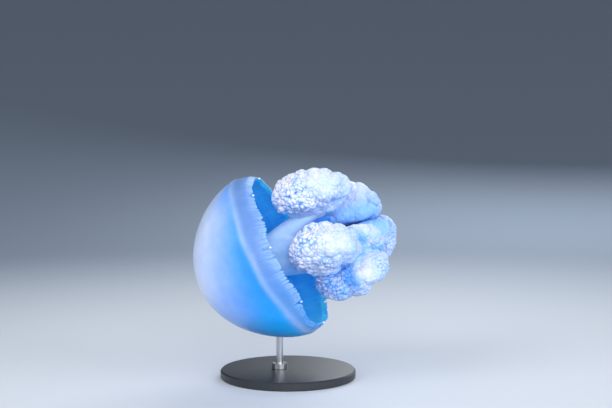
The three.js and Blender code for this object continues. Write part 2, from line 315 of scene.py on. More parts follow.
def add_node(tree, kind, settings=None, inputs=None):
    """Adds a node. settings are its own properties. inputs are its sockets by name or number, each
    given a value or the output socket that feeds it."""
    made = tree.nodes.new(kind)
    for key, value in (settings or {}).items():
        setattr(made, key, value)
    for key, value in (inputs or {}).items():
        if isinstance(value, bpy.types.NodeSocket):
            tree.links.new(value, made.inputs[key])
        else:
            made.inputs[key].default_value = value
    return made


def new_material(name, settings):
    """A node material with its output, fed by a Principled shader that has the given values."""
    material = bpy.data.materials.new(name)
    material.use_nodes = True
    tree = material.node_tree
    tree.nodes.clear()
    shader = add_node(tree, "ShaderNodeBsdfPrincipled", inputs=settings)
    add_node(tree, "ShaderNodeOutputMaterial", inputs={"Surface": shader.outputs["BSDF"]})
    return material, tree, shader


# %% [markdown]
# ## The jelly's finish
#
# Jelly is mostly water held in a fine mesh of fibres, under a wet skin. Light goes in, scatters and comes
# out some way off, and blue light travels furthest. So it gets a Principled shader with subsurface
# scattering whose blue radius is the longest, a water-like IOR, and a soft wet gloss. Its colour is
# painted on the mesh. Two faint patterns break it up: cloudy mottling about 14 mm across, and fine
# granules, drawn at 1.6 mm.

# %% Jelly material
WATER_IOR = 1.36
MOTTLE_SIZE, MOTTLE_SHARE, MOTTLE_TONE = 14, 0.2, "6fb0f5"
GRANULE_SIZE = 1.6

jelly_settings = {"Roughness": 0.4, "IOR": WATER_IOR, "Subsurface Weight": 1.0}
jelly_settings |= {"Subsurface Radius": (0.5, 0.75, 1.0), "Subsurface Scale": 8 * MM}
jelly_settings |= {"Coat Weight": 0.25, "Coat Roughness": 0.12, "Coat IOR": WATER_IOR}
bell_jelly, tree, shader = new_material("wet_bell_jelly", jelly_settings)
painted = add_node(tree, "ShaderNodeAttribute", {"attribute_name": "tint"}).outputs["Color"]
spot = add_node(tree, "ShaderNodeTexCoord").outputs["Object"]
size = {"Vector": spot, "Scale": 1 / (MOTTLE_SIZE * MM), "Detail": 3.0}
cloud = add_node(tree, "ShaderNodeTexNoise", inputs=size).outputs["Fac"]
steps = {"Value": cloud, "From Min": 0.3, "From Max": 0.7, "To Min": 0.0, "To Max": MOTTLE_SHARE}
cloudy = add_node(tree, "ShaderNodeMapRange", inputs=steps).outputs["Result"]
tones = {0: cloudy, 6: painted, 7: opaque(MOTTLE_TONE)}
deeper = {"data_type": "RGBA", "blend_type": "MULTIPLY"}
mottled = add_node(tree, "ShaderNodeMix", deeper, tones).outputs[2]
tree.links.new(mottled, shader.inputs["Base Color"])
size = {"Vector": spot, "Scale": 1 / (GRANULE_SIZE * MM), "Detail": 2.0}
grain = add_node(tree, "ShaderNodeTexNoise", inputs=size).outputs["Fac"]
relief = {"Height": grain, "Strength": 0.12, "Distance": 0.4 * MM}
bumpy = add_node(tree, "ShaderNodeBump", inputs=relief).outputs["Normal"]
tree.links.new(bumpy, shader.inputs["Normal"])
print(f"{bell_jelly.name}: {len(tree.nodes)} nodes")

# %% [markdown]
# ## The bell
#
# The bell is a blunt dome over a margin that draws in a little, and its hollow is a smaller one. A
# profile turned on a lathe would give both, but the margin isn't round: it ends in about 128 little
# lappets with a furrow between each two, leans towards the low flank, waves from octant to octant, and
# has eight notches for the sense organs. So the profile's rings are computed one by one, and the last of
# them follow the lappets.

# %% The bell's profile
OUTSIDE = {"widest": 100, "margin": 94, "widest_height": 24, "top": 117.5, "across": 2.08, "along": 1.54}
HOLLOW = {"widest": 92, "margin": 91.6, "widest_height": 14, "top": 86, "across": 2.1, "along": 1.6}


def dome_radius(dome, height):
    """Above its widest ring, widest * (1 - a ** along) ** (1 / across), where a is the height's share
    of the way to the top. Below it, the radius shrinks to the margin's with the square of the depth."""
    low, top = dome["widest_height"], dome["top"]
    above = np.clip((height - low) / (top - low), 0, 1)
    below = np.clip((low - height) / low, 0, 2)
    crown = dome["widest"] * (1 - above ** dome["along"]) ** (1 / dome["across"])
    return np.where(height < low, dome["widest"] - (dome["widest"] - dome["margin"]) * below**2, crown)


def dome_heights(dome, lowest, rings):
    """Heights from just under the top down to lowest, evenly spread round the dome's quarter turn."""
    low, top = dome["widest_height"], dome["top"]
    last = np.arcsin(((lowest - low) / (top - low)) ** (dome["along"] / 2))
    angle = np.linspace(np.pi / 2, last, rings + 1)[1:]
    return low + (top - low) * np.sin(angle) ** (2 / dome["along"])


# %% [markdown]
# The margin's small irregularities are sums of a few sines of the azimuth, so they close on themselves.
# The eight notches stand evenly round it, and three broader bumps bend it: each is given by its centre
# and half width in degrees and its height in millimetres.

# %% The margin's shape
OCTANTS, OCTANT_START = 8, np.radians(8)
LAPPETS, LAPPET_LENGTH = 128, 4.0
NOTCH_DEPTH, NOTCH_WIDTH = 4.2, 2.2
MARGIN_BUMPS = ((118, 12, -4.5), (62, 12, -4), (32, 17, 7))
FOLD_HIGH, FOLD_LOW = 26.5, 17.5


def ripple(azimuth, waves, seed):
    """The mean of a few sines with the given numbers of waves in a turn, and random phases."""
    phases = np.random.default_rng(seed).uniform(0, TURN, len(waves))
    return np.mean([np.sin(n * azimuth + p) for n, p in zip(waves, phases)], axis=0)


def lappet_phase(azimuth):
    """Where a column lies in its lappet, from 0 to 1, with the clefts shifted a little at random."""
    shifted = azimuth / TURN * LAPPETS + 0.5 * ripple(azimuth, (23, 37, 51), 3)
    return shifted % 1


def lobe(azimuth):
    """1 at the middle of a lappet, 0 in its cleft: (1 - |2 p - 1| ** 2.2) ** 0.6."""
    return (1 - np.abs(2 * lappet_phase(azimuth) - 1) ** 2.2) ** 0.6


def notch(azimuth, width):
    """1 at each of the eight sense organs, fading over width millimetres to each side."""
    off = ((azimuth - OCTANT_START) * OCTANTS / TURN + 0.5) % 1 - 0.5
    along_rim = off * TURN / OCTANTS * OUTSIDE["margin"]
    return np.exp(-((along_rim / width) ** 2))


def edge_height(azimuth):
    """The height of the lappets' edge: 0 at a tip, more in a cleft and in a notch. The lappets differ
    in length, and are longer and more ragged on the low flank."""
    low_flank = smooth_step(0.3, 1, np.cos(azimuth))
    uneven = (0.5 + 0.4 * low_flank) * ripple(azimuth, (17, 29, 43), 5)
    length = LAPPET_LENGTH * (0.85 + 0.4 * low_flank + uneven)
    return length * (1 - lobe(azimuth)) + NOTCH_DEPTH * notch(azimuth, NOTCH_WIDTH)


def margin_wave(azimuth):
    """How far the margin is drawn towards the crown: a sum of bumps, amount * exp(-(d / width) ** 2),
    where d is the angle to the bump's centre, and a small ripple."""
    total = 1.2 * ripple(azimuth, (8, 9, 14), 15)
    for centre, width, amount in MARGIN_BUMPS:
        away = (np.degrees(azimuth) - centre + 180) % 360 - 180
        total = total + amount * np.exp(-((away / width) ** 2))
    return total


def fold_height(azimuth):
    """The height of the soft fold above the margin band: lower on the low flank."""
    return FOLD_HIGH + (FOLD_LOW - FOLD_HIGH) * smooth_step(0.55, 0.95, 0.5 + 0.5 * np.cos(azimuth))


# %% The bell's walls
MARGIN_SLANT = 0.11
FURROW_FADE, WAVE_FADE = 11, 16
FURROW_DEPTH, NOTCH_DENT, NOTCH_DENT_WIDTH = 0.7, 1.3, 3.0
FOLD_RIDGE, FOLD_GROOVE, FOLD_WIDTH, GROOVE_BELOW = 0.6, 0.4, 4.5, 8
MUSCLE_SPACING, MUSCLE_HEIGHT, MUSCLE_TOP = 2.6, 0.28, (58, 40)


def wall_point(dome, height, azimuth, side):
    """A point on the outer (side 1) or inner (side -1) wall. The dome's own radius gets furrows that
    fade out above the lappets, a ridge at the fold on the outside, ring muscle on the inside, and
    slow waves. Everything slants towards the low flank, less and less towards the top."""
    above_edge = np.clip(height, 0, None)
    low = np.exp(-above_edge / FURROW_FADE)
    furrow = FURROW_DEPTH * low * (lobe(azimuth) - 0.6)
    dent = NOTCH_DENT * low * notch(azimuth, NOTCH_DENT_WIDTH)
    radius = dome_radius(dome, height) + side * (furrow - dent)
    radius = radius + 1.6 * low * ripple(azimuth, (5, 8, 13), 7) + 0.5 * low * ripple(azimuth, (31, 47), 9)
    if side > 0:
        over = height - fold_height(azimuth)
        ridge = np.exp(-((over / FOLD_WIDTH) ** 2))
        groove = np.exp(-(((over + GROOVE_BELOW) / FOLD_WIDTH) ** 2))
        uneven = 0.3 * ripple(azimuth, (9, 16, 27), 11)
        radius = radius + (FOLD_RIDGE + uneven) * ridge - FOLD_GROOVE * groove
    else:
        rings = np.sin(height / MUSCLE_SPACING * TURN + 0.8 * ripple(azimuth, (3, 7), 13))
        fade = smooth_step(3, 8, height) * smooth_step(*MUSCLE_TOP, height)
        radius = radius + MUSCLE_HEIGHT * rings * fade
    level = np.clip(height / dome["top"], 0, 1)
    slant = MARGIN_SLANT * radius * np.cos(azimuth) * (1 - level)
    wave = margin_wave(azimuth) * np.exp(-above_edge / WAVE_FADE)
    return place(height - slant + wave, radius, azimuth)


# %% [markdown]
# The rings run from the outer top down to the margin, round the lappets' edge and up the hollow. Each
# point's height and side are kept too, because the paint needs them later.

# %% The bell's rings
DOME_COLUMNS, MARGIN_COLUMNS = 256, 1024
FINE_BELOW = 20.0
HIGH_RINGS, MIDDLE_RINGS, LOW_RINGS, LIP_RINGS = 22, 16, 20, 6
EDGE_THICKNESS = 1.5


def bell_rings():
    """The rings of points in order, and their heights and sides. Between FINE_BELOW and the edge a
    ring is blended from a level one to one that follows the lappets' edge."""
    coarse = np.arange(DOME_COLUMNS) / DOME_COLUMNS * TURN
    fine = np.arange(MARGIN_COLUMNS) / MARGIN_COLUMNS * TURN
    rings, heights, sides = [], [], []

    def keep(points, height, side):
        rings.append(points)
        heights.append(np.broadcast_to(height, points.shape[:1]))
        sides.append(np.full(points.shape[:1], side))

    def wall(dome, side):
        high = dome_heights(dome, 52 if side > 0 else 50, HIGH_RINGS)
        middle = np.linspace(high[-1], FINE_BELOW, MIDDLE_RINGS)[1:-1]
        for height in np.concatenate([high, middle]):
            keep(wall_point(dome, height, coarse, side), height, side)
        for share in np.linspace(1, 0, LOW_RINGS) ** 1.15:
            height = edge_height(fine) * (1 - share) + FINE_BELOW * share
            keep(wall_point(dome, height, fine, side), height, side)

    top = OUTSIDE["top"]
    keep(place(np.array([top]), 0, 0), top, 1)
    wall(OUTSIDE, 1)
    lip_start = len(rings)
    wall(HOLLOW, -1)
    inner = slice(lip_start, len(rings))
    for part in (rings, heights, sides):
        part[inner] = part[inner][::-1]
    keep(place(np.array([HOLLOW["top"]]), 0, 0), HOLLOW["top"], -1)
    return rings, heights, sides, lip_start


def round_lip(rings, start):
    """Draws the last rings of both walls together, so that the edge is a thin rounded lip: each point
    moves towards the middle of the two walls by a share that grows towards the edge."""
    for step in range(LIP_RINGS):
        outer, inner = start - 1 - step, start + step
        middle = (rings[outer] + rings[inner]) / 2
        across = rings[outer] - rings[inner]
        width = np.linalg.norm(across, axis=1, keepdims=True)
        roundness = np.sqrt(1 - (1 - (step + 0.35) / LIP_RINGS) ** 2)
        wanted = np.minimum(width, EDGE_THICKNESS * roundness + (step / LIP_RINGS) ** 2 * 2)
        rings[outer] = middle + across / width * wanted / 2
        rings[inner] = middle - across / width * wanted / 2


bell, bell_heights, bell_sides, lip = bell_rings()
round_lip(bell, lip)
bell_points = np.concatenate(bell)
bell_height, bell_side = np.concatenate(bell_heights), np.concatenate(bell_sides)
bell_corners, bell_sizes, _, _ = stack_faces([len(ring) for ring in bell])
print("bell:", len(bell), "rings,", len(bell_points), "points")

# %% [markdown]
# ## The mouth: disc, pillars and arms
#
# In life these are one piece of jelly, smooth and rounded into each other. Separate tubes would show
# where they cross. So they are made as overlapping closed forms, melted into one skin with a voxel
# remesh of about a millimetre and a half, and smoothed. Remeshing is also how a sculptor joins limbs to
# a body.
#
# An arm is given by the azimuth of its root, the near and far ends of its club's spine as height, radius
# and azimuth, and the club's girth at each of them. bow bends the spine outwards, taper thins the near
# end, and keel is the height of the ridge on its inner side.

# %% The mouth's forms
DISC = {"radius": 25, "low": 14, "high": 34}
PILLARS, PILLAR_DISTANCE, PILLAR_WIDE, PILLAR_DEEP = 4, 19, 9, 5
PILLAR_FOOT, PILLAR_HEAD = 28, 86
ROOT_DISTANCE, BEND_DISTANCE, ROOT_RADIUS, END_RADIUS = 13, 28, 14.5, 9
JOINT_SHARE, BOW = 0.75, 5
ARMS = [
    {"root": 157.5, "near": (-6, 58, 162), "far": (-93, 46, 163), "girth": (31, 20), "taper": 0.15},
    {"root": 112.5, "near": (-10, 46, 88), "far": (-86, 45, 69), "girth": (32, 24), "taper": 0.3},
    {"root": 67.5, "near": (-44, 30, 62), "far": (-109, 22, 49), "girth": (20, 20), "bow": 3},
    {"root": 22.5, "near": (-24, 55, 30), "far": (-104, 44, 30), "girth": (25, 24)},
    {"root": 337.5, "near": (-42, 37, 318), "far": (-118, 30, 294), "girth": (24, 25), "bow": 4},
    {"root": 292.5, "near": (-12, 56, 288), "far": (-92, 42, 284), "girth": (26, 21)},
    {"root": 247.5, "near": (-8, 58, 248), "far": (-90, 45, 248), "girth": (27, 21)},
    {"root": 202.5, "near": (-26, 56, 208), "far": (-113, 25, 240), "girth": (24, 21), "bow": 4, "keel": 9},
]


def unit(vectors):
    return vectors / np.linalg.norm(vectors, axis=-1, keepdims=True)


def spine_point(arm, share):
    """The club's spine: height, radius and azimuth go evenly from near to far, and the radius also
    bulges by bow * 4 s (1 - s)."""
    height, radius, azimuth = (a + (b - a) * share for a, b in zip(arm["near"], arm["far"]))
    return place(height, radius + 4 * share * (1 - share) * arm.get("bow", BOW), np.radians(azimuth))


def spine_frame(arm, share):
    """Points on the spine, with unit vectors along it, out from the bell's axis and across both."""
    step = 0.01
    along = unit(spine_point(arm, share + step) - spine_point(arm, share - step))
    azimuth = np.radians(arm["near"][2] + (arm["far"][2] - arm["near"][2]) * share)
    outward = place(0 * share, 1 + 0 * share, azimuth) - MARGIN_CENTRE
    out = unit(outward - (outward * along).sum(-1, keepdims=True) * along)
    return spine_point(arm, share), along, out, np.cross(along, out)


def closed_tube(centres, first, second, wide, deep):
    """Rings round a path: centre + wide * cos * first + deep * sin * second, with a pole at each end."""
    turn = np.arange(28) / 28 * TURN
    around = np.cos(turn)[None, :, None] * first[:, None] * wide[:, None, None]
    around = around + np.sin(turn)[None, :, None] * second[:, None] * deep[:, None, None]
    rings = centres[:, None] + around
    return [centres[:1], *rings, centres[-1:]]


def disc_form():
    """A thick round plate: its radius follows a rounded profile, with eight shallow swellings."""
    angle = np.linspace(0.06, np.pi - 0.06, 20)
    middle, half = (DISC["low"] + DISC["high"]) / 2, (DISC["high"] - DISC["low"]) / 2
    turn = np.arange(96) / 96 * TURN
    radius = DISC["radius"] * np.sin(angle)[:, None] ** 0.55 * (1 - 0.05 * np.cos(OCTANTS * turn))
    height = middle + half * np.sign(np.cos(angle)) * np.abs(np.cos(angle)) ** 0.7
    rings = place(height[:, None] + 0 * turn, radius, turn + 0 * radius)
    return [place(np.array([DISC["high"]]), 0, 0), *rings, place(np.array([DISC["low"]]), 0, 0)]


def pillar_form(number):
    """An oval column from inside the disc to inside the roof, flared at both ends."""
    azimuth = (number + 0.5) * TURN / PILLARS
    share = np.linspace(0, 1, 24)
    out = np.broadcast_to(place(0, 1, azimuth) - MARGIN_CENTRE, (24, 3))
    centres = place(PILLAR_FOOT + (PILLAR_HEAD - PILLAR_FOOT) * share, PILLAR_DISTANCE, azimuth)
    size = 1 + 0.6 * (2 * share - 1) ** 4
    side = np.cross(out, to_crown)
    return closed_tube(centres, out, side, PILLAR_DEEP * size, PILLAR_WIDE * size)


def upper_arm_form(arm):
    """A tapering tube on the curve (1 - t)^2 start + 2 t (1 - t) bend + t^2 end, wider across than
    it is deep, with a blunt end sunk in its club."""
    share = np.linspace(0, 1, 40)
    start = place(DISC["low"] + 6, ROOT_DISTANCE, np.radians(arm["root"]))
    bend = place(arm["near"][0] - 5, BEND_DISTANCE, np.radians(arm["near"][2]))
    centre, _, out, aside = spine_frame(arm, np.array([JOINT_SHARE]))
    girth = arm["girth"][0] + (arm["girth"][1] - arm["girth"][0]) * JOINT_SHARE
    end = (centre - 0.5 * girth * out)[0]
    t = share[:, None]
    centres = (1 - t) ** 2 * start + 2 * t * (1 - t) * bend + t**2 * end
    along = unit(np.gradient(centres, axis=0))
    first = unit(np.cross(aside, along))
    second = np.cross(along, first)
    taper = np.sqrt(np.clip(1 - ((share - 0.9) / 0.1) ** 2, 0.05, 1)) ** (share > 0.9)
    radius = (ROOT_RADIUS + (END_RADIUS - ROOT_RADIUS) * share) * taper
    return closed_tube(centres, first, second, radius * 0.95, radius * 1.08)


# %% Melt the forms into one skin
VOXEL = 1.4
SMOOTH_SHARE, SMOOTH_ROUNDS = 0.5, 10


def read_all(items, what, kind, width=1):
    """One property of all items, as an array."""
    values = np.empty(len(items) * width, kind)
    items.foreach_get(what, values)
    return values


def melted(name, forms):
    """Joins closed forms into one mesh, remeshes it at VOXEL millimetres, smooths it, and returns the
    result as points in millimetres and faces."""
    parts = []
    for rings in forms:
        flat = np.concatenate(rings)
        face_corners, face_sizes, _, _ = stack_faces([len(ring) for ring in rings])
        if signed_volume(flat, face_corners, face_sizes) < 0:
            flat = np.concatenate([ring if len(ring) == 1 else ring[::-1] for ring in rings])
        parts.append((flat, face_corners, face_sizes))
    mesh, _ = new_mesh(name, *joined(parts))
    rough = add_object(name, mesh)
    remesh = rough.modifiers.new("melt", "REMESH")
    remesh.mode = "VOXEL"
    remesh.voxel_size = VOXEL * MM
    smooth = rough.modifiers.new("soften", "SMOOTH")
    smooth.factor, smooth.iterations = SMOOTH_SHARE, SMOOTH_ROUNDS
    evaluated = rough.evaluated_get(bpy.context.evaluated_depsgraph_get())
    fused = bpy.data.meshes.new_from_object(evaluated)
    bpy.data.objects.remove(rough)
    flat = read_all(fused.vertices, "co", np.float32, 3).reshape(-1, 3).astype(float) / MM
    face_corners = read_all(fused.loops, "vertex_index", np.int32)
    face_sizes = read_all(fused.polygons, "loop_total", np.int32)
    bpy.data.meshes.remove(fused)
    bpy.data.meshes.remove(mesh)
    return flat, face_corners, face_sizes


mouth_forms = [disc_form(), *map(pillar_form, range(PILLARS)), *map(upper_arm_form, ARMS)]
mouth_points, mouth_corners, mouth_sizes = melted("mouth", mouth_forms)
print("mouth:", len(mouth_points), "points")

# %% [markdown]
# ## The skin's colour
#
# The crown is milky and turns to azure towards the fold. This is partly the jelly's own tone and partly
# painted light and shade: whiter towards the top and the high flank where light falls, and a brighter
# azure painted on the low flank where little light falls. A painted highlight runs as a pale line along
# the fold. The margin band below it is a greyer blue, and the lappets are paler, but azure with pale
# streaks at the lowest part. The inside of the bell is deep azure and is painted paler low down, partly
# the lappets' own tone and partly painted light shining through the thin wall. The mouth is a clear pale
# blue, with painted shade on its low flank and deep between the arms. An image could be wrapped round
# the bell, but colours painted on the points, as smooth steps of the bell's height, need no seam.

# %% Paint the skin
# Some tones here are painted light and shade: the brighter low azure, the pale fold line (a painted
# highlight), the brighter low inside, and the crevice azure (painted shade).
CROWN_WHITE, CROWN_BLUE, AZURE, AZURE_LOW = "cfdcfa", "7fb0f4", "249af4", "1eb2ff"
BAND, BAND_LOW, FOLD_HIGHLIGHT = "6c95cc", "5c98d4", "adc2ea"
RIM, RIM_LOW, EDGE_LOW = "98b8ea", "6aa8e4", "2484dc"
INSIDE, INSIDE_LOW, INSIDE_PALE = "04b0fa", "50ceff", "5ccaff"
MOUTH, MOUTH_PALE, CREVICE_SHADE = "d2e8ff", "c0dafd", "2a9cf0"
CANALS, CANAL_WIDTH = 16, 2.6
CLOUD_SIZE, FLECK_SIZE = 35, 3


def bell_colours(points, height, side):
    """Steps from white to azure by height and flank. They are partly the jelly's own tone and partly
    painted
    light and shade: whiter towards the crown and the high flank where light falls, and a brighter azure
    painted on the low flank where little light falls. Then the band, a painted highlight along the fold,
    and the rim over it. Inside, deep azure, paler in streaks low down (partly the lappets' own tone, partly
    painted light through the wall), muscle rings and sixteen soft canals from the roof to the margin.
    low_flank is 1 on the lowest flank and 0 on the highest."""
    _, radius, azimuth = bell_frame(points)
    low_flank = 0.5 + 0.5 * np.cos(azimuth)
    clouds = soft_noise(points, CLOUD_SIZE, 21)
    over_fold = height - fold_height(azimuth) + 1.2 * clouds
    # Painted light: the low flank's azure is brighter, where little light falls.
    azure = mixed(AZURE, AZURE_LOW, smooth_step(0.6, 0.95, low_flank))
    colours = mixed(azure, CROWN_BLUE, smooth_step(25, 70, height - 34 * (low_flank - 0.5)))
    # Partly painted light: whiter towards the crown and the high flank, where light falls.
    crown_light = smooth_step(40, 110, height + 9 * clouds - 72 * (low_flank - 0.5))
    colours = mixed(colours, CROWN_WHITE, crown_light)
    band = mixed(BAND, BAND_LOW, smooth_step(0.4, 0.8, low_flank))
    colours = mixed(colours, band, smooth_step(2.5, -2.5, over_fold))
    lowest = smooth_step(0.76, 0.92, low_flank)
    # Painted highlight: a pale line along the fold's ridge.
    ridge = np.exp(-(((over_fold + 1 + lowest) / (3.5 + 2 * lowest)) ** 2))
    colours = mixed(colours, FOLD_HIGHLIGHT, 0.5 * ridge)
    flecks = 0.8 + 0.2 * soft_noise(points, FLECK_SIZE, 23)
    streaks = lobe(azimuth) ** (1 + 4 * lowest) * flecks
    edge = mixed(mixed(band, EDGE_LOW, lowest), mixed(RIM, RIM_LOW, lowest), streaks)
    colours = mixed(colours, edge, smooth_step(12, 2, height) * 0.75)
    # Paler azure in streaks low in the hollow: partly the lappets' own tone, partly painted light shining
    # through the thin wall.
    inside = mixed(INSIDE, INSIDE_LOW, smooth_step(34, 12, height) * (0.25 + 0.75 * lobe(azimuth)))
    from_canal = np.abs((azimuth * CANALS / TURN) % 1 - 0.5) * TURN / CANALS * radius
    muscle = 0.14 * np.sin(height / MUSCLE_SPACING * TURN) * smooth_step(*MUSCLE_TOP, height)
    lines = 0.15 + muscle + 0.4 * np.exp(-((from_canal / CANAL_WIDTH) ** 2)) + 0.15 * clouds
    inside = mixed(inside, INSIDE_PALE, np.clip(lines, 0, 1) * smooth_step(8, 20, height))
    return mixed(colours, inside, (side < 0) * smooth_step(0.5, 4, height))


def mouth_colours(points):
    """Pale, a little bluer along the arms, with painted shade: pale azure on the low flank, and azure deep
    between the arms.
    """
    height, radius, azimuth = bell_frame(points)
    colours = mixed(MOUTH, MOUTH_PALE, smooth_step(20, -30, height) * smooth_step(10, 30, radius))
    # Painted shade: pale azure on the low flank's side of the disc, pillars and arms.
    low_flank = smooth_step(0.3, 1, np.cos(azimuth)) * smooth_step(6, 20, radius)
    colours = mixed(colours, INSIDE_PALE, 0.55 * low_flank)
    # Painted shade: azure where the arms crowd near the axis and far down.
    return mixed(colours, CREVICE_SHADE, smooth_step(36, 20, radius) * smooth_step(-18, -42, height))


def name_all(start):
    """The names of all the CAD nodes that begin with start."""
    return [name for name in nodes if name.startswith(start)]


skin_parts = [(bell_points, bell_corners, bell_sizes), (mouth_points, mouth_corners, mouth_sizes)]
skin_mesh, _ = new_mesh("skin", *joined(skin_parts))
skin_tints = [bell_colours(bell_points, bell_height, bell_side), mouth_colours(mouth_points)]
paint(skin_mesh, np.concatenate(skin_tints))
upper_arms = [f"arm_{number + 1}_upper" for number in range(len(ARMS))]
add_piece(skin_mesh, bell_jelly, "crown_jelly", *name_all("bell_"), *name_all("mouth_"), *upper_arms)

# %% [markdown]
# ## The frills
#
# Each arm carries a club of mouth frills: thousands of tiny folds, packed into bulbs like a cauliflower.
# One could scatter small spheres, but real frills are one folded skin with crevices between the bulbs.
# So the club's three-winged skin is pushed out in three sizes of bulb, each one measured on the surface
# that the last one left. A bulb is high near a seed point and drops into a crevice where two seeds
# are equally near. The seeds are looked up at slightly wandering places, so no two bulbs are alike, and
# a bulb's sides are pushed outwards too, so that it has a neck.

# %% Bulbs
WANDER_SHARE, WANDER_SIZE = 0.6, 2.2


def grid_normals(points):
    """Unit normals of a wrapped grid, from the cross product of its two directions."""
    around = np.roll(points, -1, 1) - np.roll(points, 1, 1)
    return unit(np.cross(around, np.gradient(points, axis=0)))


def push_lobules(points, size, height, seed):
    """Moves points out along their normals by height * (1 - (d / size) ** 2), where d is the distance
    to the nearest seed: soft swellings that meet in shallow creases."""
    _, nearest, _ = crowded_seeds(points, size, seed)
    lobule = np.clip(1 - (nearest / size) ** 2, 0, 1)
    return points + grid_normals(points) * (height * lobule)[..., None]


def push_bulbs(points, size, height, spread, seed):
    """Moves points out along their normals by height * (1 - q * q), where q is the distance to the
    nearest seed over the distance to the next one, and sideways from the seed by up to the share spread
    of the way. Also returns the bulb's shape, 1 at its top and 0 in the crevices."""
    normals = grid_normals(points)
    wander = np.stack([soft_noise(points, WANDER_SIZE * size, seed + k) for k in (7, 8, 9)], -1)
    vector, nearest, second = crowded_seeds(points + WANDER_SHARE * size * wander, size, seed)
    bulb = 1 - (nearest / second) ** 2
    sideways = vector - (vector * normals).sum(-1, keepdims=True) * normals
    lean = spread * np.sin(np.pi * bulb) * np.minimum(height / size * 2.5, 1)
    moved = points + normals * (height * bulb)[..., None] + sideways * lean[..., None]
    return moved, bulb


# %% [markdown]
# A club starts as a plain one. Its radius follows the girth along the spine and swells into three wings
# round it, because in life three frilled folds run down each arm. Two clubs have deeper furrows between
# their wings, turned towards the visitor. A smooth keel runs along the inner side.

# %% The club's plain form
FRILL_ROWS, FRILL_COLUMNS = 210, 300
WING, DEEPER_WINGS, FURROW_TURN = 0.13, {1: 0.17, 3: 0.26}, {1: 45.0, 3: -80.0}
END_INSET, KEEL_HEIGHT, KEEL_WIDTH = 5.0, 5.0, 0.5
DEEPEST = max(DEEPER_WINGS, key=DEEPER_WINGS.get)
BULB_ROOM_SHARE, BULB_ROOM = 0.92, 1.5


def club_girth(arm, share):
    """The club's half thickness, going evenly from near end to far end, and the share of it that is
    left by the blunt ends: (1 - |2 s - 1| ** 2.4) ** (1 / 2.1)."""
    girth = arm["girth"][0] + (arm["girth"][1] - arm["girth"][0]) * share
    girth = girth * (1 - arm.get("taper", 0) * (1 - share) ** 3)
    return girth, (1 - np.abs(2 * share - 1) ** 2.4) ** (1 / 2.1)


def club_grid(arm, number):
    """Rings round the spine. The radius is girth * blunt ends * (0.97 - wing * cos 3 turn), drawn in by
    the height of the bulbs that come on top, plus the keel."""
    share = (1 - np.cos(np.linspace(0, np.pi, FRILL_ROWS + 2)[1:-1])) / 2
    turn = np.arange(FRILL_COLUMNS) / FRILL_COLUMNS * TURN
    length = np.linalg.norm(np.subtract(*spine_point(arm, np.array([0.0, 1.0]))))
    inset = END_INSET / length
    centre, along, out, aside = spine_frame(arm, inset + (1 - 2 * inset) * share)
    girth, blunt = club_girth(arm, share)
    turned = turn - np.radians(FURROW_TURN.get(number, 0))
    winged = 0.97 - DEEPER_WINGS.get(number, WING) * np.cos(3 * turned)
    radius = np.maximum(girth * BULB_ROOM_SHARE - BULB_ROOM, 1)[:, None] * blunt[:, None] * winged
    keel = np.exp(-(((turn - np.pi) / KEEL_WIDTH) ** 2)) * np.sin(np.pi * share)[:, None] ** 0.5
    radius = radius + arm.get("keel", KEEL_HEIGHT) * keel
    radial = np.cos(turn)[None, :, None] * out[:, None] + np.sin(turn)[None, :, None] * aside[:, None]
    return centre[:, None] + radial * radius[..., None], share, turn, turned


# %% The club's skin
BULB_SIZES = {"lobule": 12.0, "bulb": 4.6, "granule": 2.0}
TOUCH_FROM, TOUCH_TO = 6, -2
PATCH_SIZE, CREASE_SIZE, TINT_CLOUD_SIZE = 15, 6, 7
# The direction of the light that is painted on the frills.
FRILL_LIT_SIDE = unit(np.array([-0.35, -0.45, 0.82]))


def touching(points, number):
    """1 just inside another club's surface, fading to 0 at 6 mm from it: each other club counts as a row
    of balls along its spine."""
    closest = np.full(points.shape[:-1], np.inf)
    share = np.linspace(0.04, 0.96, 20)
    for arm in ARMS[:number] + ARMS[number + 1 :]:
        girth, blunt = club_girth(arm, share)
        for centre, radius in zip(spine_point(arm, share), girth * blunt):
            closest = np.minimum(closest, np.sqrt(((points - centre) ** 2).sum(-1)) - radius)
    return smooth_step(TOUCH_FROM, TOUCH_TO, closest)


